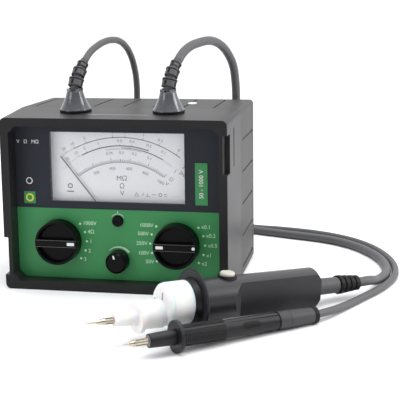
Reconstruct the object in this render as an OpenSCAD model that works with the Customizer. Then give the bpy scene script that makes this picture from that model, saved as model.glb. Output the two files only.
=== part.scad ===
// Portable analogue insulation resistance tester with two captive test leads.
// Millimetres. X to the right, Y to the back, Z up. The origin is on the surface that
// the housing stands on, under the middle of the housing.

/* [Housing] */
// Width of the housing
body_w = 165; // [150:1:180]
// Depth of the housing, front to back
body_d = 110; // [104:1:120]
// Height of the housing
body_h = 125; // [120:1:140]
// Thickness of the moulded walls
wall = 3; // [2.5:0.1:3.5]
// Depth of the front section, from the bezel to the seam
front_depth = 46; // [44:0.5:48]
// How far the bezel is narrower than the seam on each side
bezel_inset = 2.2; // [1:0.1:3]
// How far the panel lies behind the bezel
recess = 12; // [11:0.5:13]
// Width of the bezel's front band
bezel_band = 6; // [5:0.5:8]

/* [Meter] */
// Width of the meter window
window_w = 96.8; // [90:0.1:100]
// Height of the meter window
window_h = 49.4; // [44:0.1:52]
// Height of the pointer's axis
pivot_z = 40; // [38:0.5:42]
// Length of the pointer from its axis
pointer_l = 68; // [60:0.5:69]
// Rest angle of the pointer, left of vertical
pointer_rest = 38; // [30:1:42]

/* [Controls] */
// Radius of the two selector knobs
knob_r = 16; // [14:0.5:17]
// Height of the selector knobs
knob_h = 9.6; // [8:0.1:10.5]
// Distance of each selector from the middle of the panel
selector_x = 42.7; // [40:0.1:45]
// Height of the selectors' axes
selector_z = 33.5; // [32:0.5:36]
// Radius of the trimmer knob
trim_r = 8; // [6:0.5:9]
// Height of the trimmer's axis
trim_z = 20.5; // [18:0.5:22]
// Height of the zero adjuster's axis
zero_z = 49; // [48:0.5:52]

/* [Leads] */
// Diameter of the button probe's lead
thick_d = 6.5; // [6:0.1:7]
// Diameter of the small probe's lead
thin_d = 5; // [4.5:0.1:5.4]
// Distance of each cable gland from the middle
gland_x = 34; // [30:0.5:38]

/* [Button probe] */
// Radius of the finger guard
guard_r = 20; // [18:0.5:22]
// Radius of the grip
grip_r = 13.2; // [12:0.1:14]
// Length of the grip behind the guard's front face
grip_l = 94; // [80:1:100]
// Travel of the push button
button_travel = 2; // [1:0.5:2.5]

/* [Small probe] */
// Radius of the finger guard
small_guard_r = 9.6; // [8:0.1:11]
// Radius of the knurled grip
small_grip_r = 6; // [5:0.1:6.4]

/* [Hidden] */
$fn = 48;
hull_fn = 32;
eps = 0.01;
clearance = 0.05;

front_y = -body_d / 2;
back_y = body_d / 2;
seam_y = front_y + front_depth;
bezel_drop = 2.4;
top_slope = atan(bezel_drop / front_depth);
corner_r = 4;
seam_r = 3;
half_w = body_w / 2;
front_half_w = half_w - bezel_inset;
front_h = body_h - bezel_drop;

// panel stack
panel_y = front_y + recess;
panel_t = 2;
panel_back = panel_y + panel_t;
open_half_w = front_half_w - bezel_band;
open_z0 = bezel_band;
open_z1 = front_h - bezel_band;
open_chamfer = 5;
seat = 2.2;
foil_t = 0.4;
foil_top = 57;
foil_gap = 0.2;
window_z0 = 62.2;
window_z1 = window_z0 + window_h;
window_t = 1.5;

// movement
dial_y = panel_y + 5.5;
dial_t = 1;
pointer_y = dial_y - 1.9;
pointer_t = 0.4;
core_r = 5.9;
core_y0 = panel_y + 13;
core_y1 = core_y0 + 12;
gap_in = 6.6;
gap_out = 7.6;
yoke_in = 8.2;
yoke_out = 11;
staff_r = 0.8;
coil_front = core_y0 - 2.2;
coil_back = core_y1 + 2.2;
meter_back = core_y1 + 5.5;
meter_side = 51.2;
lower_half_w = 26;
meter_z0 = 27.5;
shoulder_z = 59;
meter_post_x = 20;
meter_post_r = 2.5;

// case screws
screw_x = 73.5;
screw_z0 = 12;
screw_z1 = 110;
post_r = 4.5;
screw_r = 1.5;
screw_head_r = 3;
screw_head_y = -2;

// battery bay
bay_x0 = -66;
bay_x1 = -10;
bay_z0 = 8;
bay_z1 = 60;
bay_y0 = 12;
cell_r = 7.1;
cell_l = 50;

// rear case grooves
rib_pitch_z = 23.7;
rib_z0 = 6.7;
rib_pitch_x = 22.5;
groove_w = 1.4;
groove_d = 0.7;

// cable glands
gland_y = -26;
gland_r = 11.1;
gland_h = 15;
gland_top_z = body_h - bezel_drop * (seam_y - gland_y) / front_depth;
spigot_r = 6;
spigot_l = 9;

// button probe, placed by the front face of its guard
guard_t = 1.8;
probe_at = [68.8, -124];
probe_yaw = 41.4;
probe_tilt = atan((guard_r - grip_r) / (grip_l - guard_t));
probe_z = guard_r * cos(probe_tilt) + guard_t * sin(probe_tilt);
ring_l = 4.3;
nose_r = 14;
nozzle_drop = 6.2;
button_s = 25.3;
button_r = 4.7;
button_top = grip_r + 3;
boot_drop = 0.4;
boot_l = 37.5;
bore_r = 6.4;
pin_r = 2;

// small probe, placed by the middle of its guard
small_at = [67, -158];
small_yaw = 39.9;
small_end = 98.5;
small_end_r = 5;
small_tilt = atan((small_guard_r - small_end_r - 0.1) / small_end);
small_z = small_guard_r + 0.1;

// lead routes; every point lies on the lead's centre line
thick_r = thick_d / 2;
thin_r = thin_d / 2;
thick_top_route = [[38.5, -14, 159.5], [41, -7, 165], [44.5, 1.5, 169], [48.5, 11, 171],
    [53, 22, 172], [57, 34, 170.5], [60.5, 44, 166.5], [63.5, 53, 160], [66, 60, 151],
    [67, 64, 140], [67.5, 65, 122], [67.5, 65, 92], [67.5, 65, 62],
    [66.5, 65, 45], [62.5, 64.5, 29], [55, 63.5, 16], [44, 62.5, 7], [33, 62, 3.5]];
thick_end_route = [[34, 138.5, 9.5], [46, 135.5, 7], [58, 131.5, 4], [72, 126, 3.3],
    [92, 119, 3.3], [112, 112, 3.3], [131, 105.5, 3.3], [148, 96, 3.3], [162, 83, 3.3],
    [173, 67, 3.3], [181, 50, 3.3], [185.5, 32, 3.3], [186.5, 14, 3.5], [184, -3, 4.5],
    [179.5, -17, 6], [174.6, -30, 9.5], [167.0, -37.4, 10.0]];
thin_top_route = [[-30.8, -12, 159.5], [-29, -4, 165], [-26.5, 5, 169], [-24, 14, 171.5],
    [-21, 26, 172.5], [-18.5, 37, 171], [-16.5, 47, 166.5], [-15, 55, 159.5], [-14, 60.5, 151],
    [-13, 63.5, 139], [-13, 64.5, 118], [-13, 64.5, 92], [-13, 64.5, 68],
    [-13.5, 64.5, 50], [-17, 64.5, 34], [-24, 64.5, 20], [-33, 64.5, 9.5], [-46, 66, 4]];
thin_end_route = [[-49, 128.5, 7.5], [-37, 131, 5], [-22, 136, 2.7], [-6, 143, 2.5],
    [10, 147, 2.5], [26, 148.5, 2.5], [42, 147, 2.5], [58, 142.5, 2.5], [75, 138, 2.5],
    [94, 135, 2.5], [112, 130.5, 2.5], [130, 124, 2.5], [146, 115, 2.5], [160, 103.5, 2.5],
    [172, 89, 2.5], [181, 73, 2.5], [187.5, 56, 2.5], [191.5, 39, 2.5], [193, 22, 2.5],
    [192, 5, 2.5], [187.5, -12, 2.5], [181, -28, 2.5], [173, -43, 2.5], [165, -58, 2.7],
    [157, -73, 3.4], [150.5, -84.5, 4.5], [142.5, -94.9, 5.2]];
coil_layers = 2;
coil_turns = 2;
thick_coil = [22, 101];
thick_coil_r = 36;
thin_coil = [-57, 97];
thin_coil_r = 30;

// ---------------------------------------------------------------- helpers

// An outline in X and Z drawn through the depth from y0 to y1
module through(y0, y1) {
    translate([0, y1, 0]) rotate([90, 0, 0]) linear_extrude(y1 - y0) children();
}

// A round bar along Y at [x, z]
module bar_y(at, y0, y1, r1, r2 = undef) {
    translate([at[0], y1, at[1]]) rotate([90, 0, 0])
        cylinder(h = y1 - y0, r1 = r1, r2 = is_undef(r2) ? r1 : r2);
}

module round_rect(x0, x1, z0, z1, r) {
    translate([x0 + r, z0]) square([x1 - x0 - 2 * r, z1 - z0]);
    translate([x0, z0 + r]) square([x1 - x0, z1 - z0 - 2 * r]);
    for (x = [x0 + r, x1 - r], z = [z0 + r, z1 - r]) translate([x, z]) circle(r);
}

module chamfer_rect(x0, x1, z0, z1, low, high) {
    polygon([[x0 + low, z0], [x1 - low, z0], [x1, z0 + low], [x1, z1 - high],
        [x1 - high, z1], [x0 + high, z1], [x0, z1 - high], [x0, z0 + low]]);
}

// Sets children's Z axis along the vector d, at the point p
module along(p, d) {
    translate(p) rotate([0, acos(d[2] / norm(d)), atan2(d[1], d[0])]) children();
}

// Unit vector along a route at its point i
function heading(p, i) =
    let (a = p[max(i - 1, 0)], b = p[min(i + 1, len(p) - 1)]) (b - a) / norm(b - a);

// Vectors across a route, one at each point, carried along it without twisting
function carried(u, t) = let (w = u - (u * t) * t) w / norm(w);
function across(p, i, u) =
    i == len(p) ? [] : let (w = carried(u, heading(p, i))) concat([w], across(p, i + 1, w));

// A round tube along a route's points
module tube(p, d, n = 8) {
    u = across(p, 0, abs(heading(p, 0)[2]) > 0.5 ? [1, 0, 0] : [0, 0, 1]);
    v = [for (i = [0:len(p) - 1]) cross(heading(p, i), u[i])];
    last = len(p) - 1;
    polyhedron(
        points = [for (i = [0:last], k = [0:n - 1])
            p[i] + d / 2 * (u[i] * cos(360 * k / n) + v[i] * sin(360 * k / n))],
        faces = concat(
            [[for (k = [0:n - 1]) k]],
            [for (i = [0:last - 1], k = [0:n - 1])
                [i * n + k, (i + 1) * n + k, (i + 1) * n + (k + 1) % n, i * n + (k + 1) % n]],
            [[for (k = [n - 1:-1:0]) last * n + k]]));
}

// The outer shape of a round coil lying on the floor
module coil(at, mid_r, d) {
    half = d * coil_turns / 2;
    translate([at[0], at[1], 0]) rotate_extrude($fn = 96)
        translate([mid_r - half, 0]) square([2 * half, d * coil_layers]);
}

// Puts a probe's own frame (X from tip to lead, Z up) in place
module button_probe_frame() {
    translate([probe_at[0], probe_at[1], probe_z]) rotate([0, probe_tilt, probe_yaw]) children();
}

module small_probe_frame() {
    translate([small_at[0], small_at[1], small_z]) rotate([0, small_tilt, small_yaw]) children();
}

// A round bar along the probe's X axis, from a to b
module bar_x(a, b, r1, r2 = undef, drop = 0) {
    translate([a, 0, -drop]) rotate([0, 90, 0])
        cylinder(h = b - a, r1 = r1, r2 = is_undef(r2) ? r1 : r2);
}

// ---------------------------------------------------------------- housing

notch_h = 27;
notch_z = 10.3;
notch_in = 3;
notch_back = 9;
side_slot_z = 88;
side_slot_y = front_y + 21;

module edge_notch(side, z0) {
    translate([side * (front_half_w - notch_in) + (side < 0 ? -10 : 0), front_y - 1, z0])
        cube([10, notch_back + 1, notch_h]);
}

module screw_posts(y0, y1) {
    for (x = [-screw_x, screw_x], z = [screw_z0, screw_z1]) bar_y([x, z], y0, y1, post_r);
}

module screw_bores(y0, y1, r) {
    for (x = [-screw_x, screw_x], z = [screw_z0, screw_z1]) bar_y([x, z], y0, y1, r);
}

board_y = -11;
board_x = 66;
board_rib = 3;

module front_case() color("dimgray") difference() {
    union() {
        difference() {
            hull() {
                through(front_y, front_y + 0.5)
                    round_rect(-front_half_w, front_half_w, 0, front_h, corner_r, $fn = hull_fn);
                through(seam_y - 0.5, seam_y)
                    round_rect(-half_w, half_w, 0, body_h, seam_r, $fn = hull_fn);
            }
            through(panel_y, seam_y + 1)
                round_rect(-front_half_w + wall, front_half_w - wall, wall, front_h - wall, 1.5);
        }
        screw_posts(panel_back + 4, seam_y);
        for (x = [-front_half_w + wall - eps, board_x], z = [30, 84])
            translate([x, panel_back, z]) cube([front_half_w - wall - board_x + eps,
                board_y - panel_back, board_rib]);
    }
    through(front_y - 1, panel_y + 1)
        chamfer_rect(-open_half_w, open_half_w, open_z0, open_z1, open_chamfer, open_chamfer);
    edge_notch(1, front_h - notch_z - notch_h);
    edge_notch(-1, notch_z);
    for (side = [-1, 1])
        translate([side * half_w - 2.2, side_slot_y, side_slot_z]) cube([4.4, 1.8, notch_h]);
    for (x = [-gland_x, gland_x]) translate([x, gland_y, gland_top_z])
        rotate([top_slope, 0, 0]) translate([0, 0, -10]) cylinder(h = 14, r = spigot_r);
    screw_bores(-24, seam_y + 1, screw_r);
}

module rear_outline(grow) {
    round_rect(-half_w - grow, half_w + grow, -grow, body_h + grow, seam_r + grow);
}

door_gap = 0.3;
door_t = 2.5;

module side_grooves() {
    for (side = [-1, 1]) {
        for (k = [0:4])
            translate([side * half_w - groove_d, seam_y + 7, rib_z0 + k * rib_pitch_z])
                cube([2 * groove_d, body_d - front_depth - 14, k == 0 ? 2 * groove_w : groove_w]);
        translate([side * half_w - groove_d, back_y - 7, rib_z0])
            cube([2 * groove_d, 0.6, 4 * rib_pitch_z + groove_w]);
    }
    for (k = [0:6])
        translate([-74 + k * rib_pitch_x, seam_y + 7, body_h - groove_d])
            cube([groove_w, body_d - front_depth - 14, 2 * groove_d]);
}

module rear_case() color("gray") difference() {
    union() {
        difference() {
            through(seam_y, back_y) rear_outline(0);
            through(seam_y - 1, back_y - wall) rear_outline(-wall);
        }
        screw_posts(seam_y, back_y - wall + eps);
    }
    screw_bores(seam_y - 1, back_y + 1, screw_r + 0.2);
    screw_bores(screw_head_y - 2.6, back_y + 1, screw_head_r + 0.3);
    side_grooves();
    through(back_y - wall - 1, back_y + 1)
        round_rect(bay_x0, bay_x1, bay_z0, bay_z1, 2);
    bar_y([bay_x1 + 4, 34], back_y - wall - 1, back_y + 1, screw_r);
    through(back_y - door_t, back_y + 1)
        round_rect(bay_x0 - 2, bay_x1 + 9, bay_z0 - 2, bay_z1 + 2, 3);
}

module battery_door() color("dimgray") difference() {
    through(back_y - door_t, back_y)
        round_rect(bay_x0 - 2 + door_gap, bay_x1 + 9 - door_gap,
            bay_z0 - 2 + door_gap, bay_z1 + 2 - door_gap, 2.7);
    bar_y([bay_x1 + 4, 34], back_y - door_t - 1, back_y - 1, screw_r);
    bar_y([bay_x1 + 4, 34], back_y - 2, back_y + 1, screw_head_r);
}

module pan_screw(at, head_y, length) difference() {
    union() {
        bar_y(at, head_y - 2, head_y, screw_head_r);
        bar_y(at, head_y - 2 - length, head_y - 2 + eps, screw_r);
    }
    translate([at[0] - 2.4, head_y - 0.8, at[1] - 0.4]) cube([4.8, 1, 0.8]);
    translate([at[0] - 0.4, head_y - 0.8, at[1] - 2.4]) cube([0.8, 1, 4.8]);
}

module case_screws() color("silver") {
    for (x = [-screw_x, screw_x], z = [screw_z0, screw_z1])
        pan_screw([x, z], screw_head_y - 0.6, 18);
    pan_screw([bay_x1 + 4, 34], back_y, 4);
}

module selector_holes(r, y0, y1) {
    for (x = [-selector_x, selector_x]) bar_y([x, selector_z], y0, y1, r);
}

module front_panel() color([0.15, 0.16, 0.19]) difference() {
    through(panel_y, panel_back)
        round_rect(-open_half_w - seat, open_half_w + seat, open_z0 - seat, open_z1 + seat, 1);
    through(panel_y - 1, panel_back + 1)
        translate([-window_w / 2, window_z0]) square([window_w, window_h]);
    selector_holes(3 + clearance, panel_y - 1, panel_back + 1);
    bar_y([0, trim_z], panel_y - 1, panel_back + 1, 2 + clearance);
    bar_y([0, zero_z], panel_y - 1, panel_back + 1, 2 + clearance);
}

module control_overlay() color([0.2, 0.48, 0.28]) difference() {
    through(panel_y - foil_t, panel_y)
        chamfer_rect(-open_half_w + foil_gap, open_half_w - foil_gap,
            open_z0 + foil_gap, foil_top, open_chamfer, eps);
    selector_holes(4, panel_y - 1, panel_y + 1);
    bar_y([0, trim_z], panel_y - 1, panel_y + 1, 3);
    bar_y([0, zero_z], panel_y - 1, panel_y + 1, 4.2);
}

badge_x = -68.6;
badge_z = 60;
badge_side = 8.5;
strip_x = 55.8;
strip_w = 8.7;
strip_z = 62;
strip_h = 29.5;

module label_plates() color([0.2, 0.5, 0.28]) through(panel_y - foil_t, panel_y) {
    translate([badge_x, badge_z]) square(badge_side);
    translate([strip_x, strip_z]) square([strip_w, strip_h]);
}

// ---------------------------------------------------------------- meter

module meter_window() color([0.85, 0.9, 0.92, 0.4])
    through(panel_y, panel_y + window_t)
        translate([-window_w / 2, window_z0]) square([window_w, window_h]);

module meter_dial() color("whitesmoke")
    through(dial_y, dial_y + dial_t)
        translate([-window_w / 2 - 1, window_z0 - 1.5]) square([window_w + 2, window_h + 2]);

module meter_outline(grow) {
    translate([-meter_side - grow, shoulder_z - grow])
        square([2 * (meter_side + grow), window_z1 + 2.5 - shoulder_z + 2 * grow]);
    translate([-lower_half_w - grow, meter_z0 - grow])
        square([2 * (lower_half_w + grow), shoulder_z - meter_z0 + 1]);
}

module meter_case() color([0.1, 0.1, 0.11]) difference() {
    union() {
        difference() {
            through(panel_back, meter_back) meter_outline(0);
            through(panel_back - 1, meter_back - 1.5) meter_outline(-1.5);
        }
        for (x = [-44, 44], z = [66, 106]) bar_y([x, z], dial_y + dial_t, meter_back - 1, 3);
        for (x = [-meter_post_x, meter_post_x])
            bar_y([x, pivot_z], coil_front - 3.4, meter_back - 1, meter_post_r);
    }
    bar_y([0, pivot_z], meter_back - 2, meter_back + 1, 2);
}

module meter_magnet() color("gray") bar_y([0, pivot_z], core_y0, core_y1, core_r);

module meter_yoke() color([0.45, 0.45, 0.47]) difference() {
    union() {
        bar_y([0, pivot_z], core_y0, core_y1, yoke_out);
        translate([-meter_post_x, core_y0 + 3, pivot_z - 3]) cube([2 * meter_post_x, 6, 6]);
    }
    bar_y([0, pivot_z], core_y0 - 1, core_y1 + 1, yoke_in);
    for (x = [-meter_post_x, meter_post_x]) bar_y([x, pivot_z], core_y0, core_y1, meter_post_r);
}

bridge_t = 0.8;
bridge_w = 5;

module meter_bridges() color("goldenrod") {
    // carries the core inside the yoke
    for (y = [core_y0 - bridge_t, core_y1])
        translate([-bridge_w / 2, y, pivot_z - yoke_out + 1.5])
            cube([bridge_w, bridge_t, 2 * yoke_out - 3]);
    // front and rear bearings
    difference() {
        translate([-23, coil_front - 3.4 - 1.2, pivot_z - bridge_w / 2]) cube([46, 1.2, bridge_w]);
        bar_y([0, pivot_z], coil_front - 6, coil_front - 2, staff_r + clearance);
    }
    difference() {
        bar_y([0, pivot_z], coil_back + 1.2, meter_back, 2);
        bar_y([0, pivot_z], coil_back, meter_back - 0.8, staff_r + clearance);
    }
}

module in_pointer_frame() {
    translate([0, 0, pivot_z]) rotate([0, -pointer_rest, 0]) children();
}

module moving_coil() color("peru") in_pointer_frame() {
    difference() {
        translate([-gap_out, coil_front, -2]) cube([2 * gap_out, coil_back - coil_front, 4]);
        translate([-gap_in, coil_front + 0.8, -3])
            cube([2 * gap_in, coil_back - coil_front - 1.6, 6]);
    }
    bar_y([0, 0], pointer_y - 0.6, coil_front + eps, staff_r);
    bar_y([0, 0], coil_back - eps, meter_back - 1, staff_r);
}

function spiral(r0, r1, turns, steps) =
    [for (i = [0:steps]) let (a = 360 * turns * i / steps, r = r0 + (r1 - r0) * i / steps)
        [r * cos(a), r * sin(a)]];

module hairspring(y) {
    in_edge = spiral(staff_r, 4.4, 2, 28);
    out_edge = spiral(staff_r + 0.25, 4.65, 2, 28);
    in_pointer_frame() through(y, y + 0.4)
        polygon(concat(out_edge, [for (i = [len(in_edge) - 1:-1:0]) in_edge[i]]));
}

module hairsprings() color("darkkhaki") {
    hairspring(coil_front - 2);
    hairspring(coil_back + 0.5);
}

module pointer() color("black") in_pointer_frame() difference() {
    union() {
        bar_y([0, 0], pointer_y - 0.3, pointer_y + pointer_t + 0.3, 2.6);
        translate([-0.35, pointer_y, 0]) cube([0.7, pointer_t, pointer_l]);
        translate([-1.2, pointer_y, -8]) cube([2.4, pointer_t, 8]);
    }
    bar_y([0, 0], pointer_y - 1, pointer_y + 2, staff_r);
}

module zero_adjuster() color([0.08, 0.08, 0.09]) difference() {
    union() {
        bar_y([0, zero_z], panel_y - 2.4, panel_y - clearance, 3.7);
        bar_y([0, zero_z], panel_y - 1, panel_back + 0.3, 2);
        bar_y([0, zero_z - 1.2], panel_back, panel_back + 1, 0.5);
    }
    translate([-3, panel_y - 3, zero_z - 0.5]) cube([6, 1.4, 1]);
}

// ---------------------------------------------------------------- controls

knob_back = panel_y - foil_t - 0.5;
knob_front = knob_back - knob_h;
dish_depth = 4.5;
grip_bar_w = 5.4;

module selector_knob(x) difference() {
    union() {
        difference() {
            bar_y([x, selector_z], knob_front, knob_back, knob_r, knob_r - 0.6);
            bar_y([x, selector_z], knob_front - 1, knob_front + dish_depth, knob_r - 3.2,
                knob_r - 1.9);
        }
        intersection() {
            bar_y([x, selector_z], knob_front, knob_back, knob_r - 1);
            translate([x - knob_r, knob_front, selector_z - grip_bar_w / 2])
                cube([2 * knob_r, knob_h - 1, grip_bar_w]);
        }
    }
    bar_y([x, selector_z], knob_back - 4.5, knob_back + 1, 3);
}

module selector_shaft(x) bar_y([x, selector_z], knob_back - 4.5, -19, 3);

module selector_switch(x) difference() {
    union() {
        bar_y([x, selector_z], panel_back, -21, 12.5);
        for (k = [0:9])
            translate([x + 11 * cos(36 * k), -21 - eps, selector_z + 11 * sin(36 * k)])
                translate([-0.7, 0, -0.3]) cube([1.4, 4, 0.6]);
    }
    bar_y([x, selector_z], panel_back - 1, -18, 3 + clearance);
}

module function_knob() color([0.05, 0.05, 0.06]) selector_knob(-selector_x);
module voltage_knob() color([0.05, 0.05, 0.06]) selector_knob(selector_x);
module function_shaft() color("silver") selector_shaft(-selector_x);
module voltage_shaft() color("silver") selector_shaft(selector_x);
module function_switch() color("saddlebrown") selector_switch(-selector_x);
module voltage_switch() color("saddlebrown") selector_switch(selector_x);

module trim_knob() color([0.05, 0.05, 0.06]) difference() {
    union() {
        bar_y([0, trim_z], knob_back - 7, knob_back, trim_r, trim_r - 0.4);
        bar_y([0, trim_z], knob_back - 8.5, knob_back - 7 + eps, trim_r - 0.4, trim_r - 2);
    }
    bar_y([0, trim_z], knob_back - 5.5, knob_back + 1, 2);
}

module trim_shaft() color("silver") bar_y([0, trim_z], knob_back - 5.5, -32, 2);

module trim_pot() color("steelblue") difference() {
    bar_y([0, trim_z], panel_back, -31, 6);
    bar_y([0, trim_z], panel_back - 1, -32, 2 + clearance);
}

// ---------------------------------------------------------------- electronics

board_t = 1.6;
board_back = board_y + board_t;

module main_board() color("darkgreen") {
    translate([-73, board_y, 22]) cube([146, board_t, 80]);
    // soldered resistors
    for (k = [0:5]) translate([-44 + 8 * k, board_back + 1.2, 76]) cylinder(h = 9, r = 1.2 + eps);
    for (k = [0:3]) translate([-30 + 8 * k, board_back + 1.2, 92]) cylinder(h = 7, r = 1.2 + eps);
}

module hv_transformer() color([0.7, 0.55, 0.2])
    translate([22, board_back, 70]) {
        translate([0, 0, 4]) cube([32, 22, 16]);
        translate([5, 3, 0]) cube([22, 16, 24]);
    }

module hv_capacitors() color("royalblue")
    for (x = [8, 8 + 40]) bar_y([x, 46], board_back, board_back + 26, 8);

fuse_z = 31;
fuse_x = 12;

module fuse_holder() color([0.12, 0.12, 0.13]) difference() {
    translate([fuse_x, board_back, fuse_z - 4]) cube([28, 6, 8]);
    translate([fuse_x + 3, board_back + 5.5, fuse_z]) rotate([0, 90, 0]) cylinder(h = 22, r = 2.6);
}

module fuse() color("lightgray")
    translate([fuse_x + 4, board_back + 5.5, fuse_z]) rotate([0, 90, 0]) cylinder(h = 20, r = 2.6);

row_z = [17.5, 34, 50.5];
row_y = [22, 40];

module battery_holder() color([0.1, 0.1, 0.1]) difference() {
    union() {
        translate([bay_x0 + 0.5, bay_y0, bay_z0 + 0.5])
            cube([bay_x1 - bay_x0 - 1, 38, bay_z1 - bay_z0 - 1]);
        for (x = [bay_x0 + 6, bay_x1 - 10])
            translate([x, bay_y0 + 4, wall]) cube([4, 30, bay_z0 - wall + 0.6]);
    }
    translate([bay_x0 + 2, bay_y0 + 1.5, bay_z0 + 2])
        cube([bay_x1 - bay_x0 - 4, 40, bay_z1 - bay_z0 - 4]);
}

module batteries() color("orange") for (z = row_z, y = row_y)
    translate([bay_x0 + 3, y, z]) rotate([0, 90, 0]) {
        cylinder(h = cell_l - 1, r = cell_r);
        cylinder(h = cell_l, r = 2.7);
    }

module battery_contacts() color("silver") for (z = row_z, y = row_y, x = [bay_x0 + 2, bay_x1 - 3])
    translate([x, y - 3, z - 4]) cube([1, 6, 8]);

// ---------------------------------------------------------------- glands

module gland(side) translate([side * gland_x, gland_y, gland_top_z]) rotate([top_slope, 0, 0]) {
    rotate_extrude() polygon([[0, -spigot_l], [spigot_r, -spigot_l], [spigot_r, 0], [gland_r, 0],
        [gland_r, 2.2], [gland_r - 0.6, 3], [8.6, 6.5], [6.9, 10.5], [5.6, gland_h],
        [0, gland_h]]);
}

module left_gland() color([0.12, 0.12, 0.13]) gland(-1);
module right_gland() color([0.12, 0.12, 0.13]) gland(1);

module gland_nuts() color([0.1, 0.1, 0.1]) for (side = [-1, 1])
    translate([side * gland_x, gland_y, gland_top_z]) rotate([top_slope, 0, 0]) difference() {
        translate([0, 0, 0.5 - spigot_l]) cylinder(h = 3.2, r = 8.5, $fn = 6);
        translate([0, 0, -spigot_l - 1]) cylinder(h = 6, r = spigot_r);
    }

// Stations of the bent, segmented boots: each is a collar on a thinner neck
thick_boot_route = [[34, -27, 138], [34.6, -25.6, 144.5], [35.8, -21.8, 151.3], [37.3, -17.5, 156.5],
    thick_top_route[0]];
thin_boot_route = [[-34, -27, 138], [-33.6, -25.2, 144.5], [-32.7, -20.5, 151], [-31.7, -15.8, 156],
    thin_top_route[0]];

module boot(p, r) {
    sizes = [[5.1, 6], [4.8, 5.6], [3.8, 4]];
    for (i = [0:3]) along(p[i], p[i + 1] - p[i])
        cylinder(h = norm(p[i + 1] - p[i]), r = r + 0.5 - 0.05 * i);
    for (i = [1:3]) along(p[i], heading(p, i)) translate([0, 0, -sizes[i - 1][1] / 2])
        cylinder(h = sizes[i - 1][1], r = sizes[i - 1][0]);
}

module left_boot() color([0.2, 0.2, 0.21]) boot(thin_boot_route, thin_r);
module right_boot() color([0.2, 0.2, 0.21]) boot(thick_boot_route, thin_r + 0.4);

// ---------------------------------------------------------------- button probe

flat_y = 7.9;
flat_s = 31.5;
ramp_s = 24.4;
shell_end = 4;

// What is milled off one side of the grip, with a sloping start
module side_cut(side) {
    translate([0, 0, -15]) linear_extrude(30) polygon([[ramp_s, side * grip_r],
        [flat_s, side * flat_y], [grip_l + 1, side * flat_y], [grip_l + 1, side * (grip_r + 1)],
        [ramp_s, side * (grip_r + 1)]]);
}

module probe_grip() color([0.17, 0.17, 0.19]) button_probe_frame() difference() {
    union() {
        bar_x(guard_t, grip_l - 3, grip_r);
        bar_x(grip_l - 3 - eps, grip_l, grip_r, grip_r - 3);
    }
    bar_x(guard_t + 2, grip_l - shell_end, bore_r);
    bar_x(grip_l - shell_end - 1, grip_l + 1, 3.6, 3.6, boot_drop);
    bar_x(guard_t - 1, guard_t + 3, 4);
    for (side = [-1, 1]) side_cut(side);
    translate([button_s, 0, 0]) cylinder(h = 20, r = button_r + 1.4);
}

module probe_guard() color([0.2, 0.2, 0.22]) button_probe_frame() difference() {
    bar_x(0, guard_t, guard_r);
    bar_x(-1, guard_t + 1, 4);
}

module nose_ring() color([0.05, 0.05, 0.05]) button_probe_frame() difference() {
    bar_x(-ring_l, 0, nose_r - 0.3, nose_r + 1);
    bar_x(-ring_l - 1, 1, 4);
}

module probe_nose() color("white") button_probe_frame() difference() {
    union() {
        bar_x(-17.5, -ring_l, nose_r - 0.8, nose_r - 0.6);
        bar_x(-19.3, -17.5 + eps, nose_r - 1.3, nose_r - 0.8);
        bar_x(-20.5, -19.3 + eps, nose_r - 2.6, nose_r - 1.3);
        bar_x(-21, -20.5 + eps, nose_r - 4.2, nose_r - 2.6);
        bar_x(-34.5, -21 + eps, 8.2, 8.8, nozzle_drop - 1);
        bar_x(-37.5, -34.4, 9.5, 9.5, nozzle_drop);
        bar_x(-52, -37, 3.6, 4.7, nozzle_drop);
    }
    bar_x(-53, -40, pin_r - 0.1, pin_r - 0.1, nozzle_drop);
}

module probe_tip() color("silver") button_probe_frame() {
    bar_x(-52, -40, pin_r - 0.1, pin_r - 0.1, nozzle_drop);
    bar_x(-58, -52 + eps, pin_r, pin_r, nozzle_drop);
    bar_x(-63, -58 + eps, 1, pin_r, nozzle_drop);
    bar_x(-71, -63 + eps, 0.15, 0.7, nozzle_drop);
}

module push_button() color([0.95, 0.94, 0.88]) button_probe_frame()
    translate([button_s, 0, 0]) {
        translate([0, 0, grip_r - 3]) cylinder(h = button_top - grip_r + 2.3, r = button_r);
        translate([0, 0, button_top - 0.7 - eps]) cylinder(h = 0.7 + eps, r1 = button_r, r2 = 4.2);
        translate([0, 0, 6.2]) cylinder(h = grip_r - 3 - 6.2 + eps, r = 1.4);
    }

module button_bezel() color([0.08, 0.08, 0.09]) button_probe_frame()
    translate([button_s, 0, 0]) difference() {
        translate([0, 0, grip_r - 4]) cylinder(h = 5.2, r = button_r + 1.4);
        translate([0, 0, grip_r - 5]) cylinder(h = 8, r = button_r + clearance);
    }

module button_switch() color([0.25, 0.2, 0.15]) button_probe_frame()
    translate([button_s - 4.5, -2.5, -5.5]) cube([9, 5, 9.5]);

module button_spring() color("silver") button_probe_frame() translate([button_s, 0, 4])
    difference() {
        cylinder(h = grip_r - 3 - 4, r = 3.2);
        translate([0, 0, -1]) cylinder(h = 9, r = 2.4);
    }

module probe_boot() color([0.12, 0.12, 0.13]) button_probe_frame() {
    bar_x(grip_l - shell_end, grip_l + 16, 3.6, 3.6, boot_drop);
    bar_x(grip_l, grip_l + 19, 5.6, 5.4, boot_drop);
    bar_x(grip_l + 19 - eps, grip_l + boot_l, 4.9, 3.7, boot_drop);
    for (k = [0:3]) bar_x(grip_l + 19.5 + 4.6 * k, grip_l + 22.3 + 4.6 * k,
        6.2 - 0.4 * k, 6.2 - 0.4 * k, boot_drop);
}

// ---------------------------------------------------------------- small probe

small_body_end = 69.5;

module small_tip() color("silver") small_probe_frame() {
    bar_x(-18, -14, pin_r - 0.1);
    bar_x(-27, -18 + eps, pin_r);
    bar_x(-30, -27 + eps, 1, pin_r);
    bar_x(-34, -30 + eps, 0.15, 0.6);
}

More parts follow.
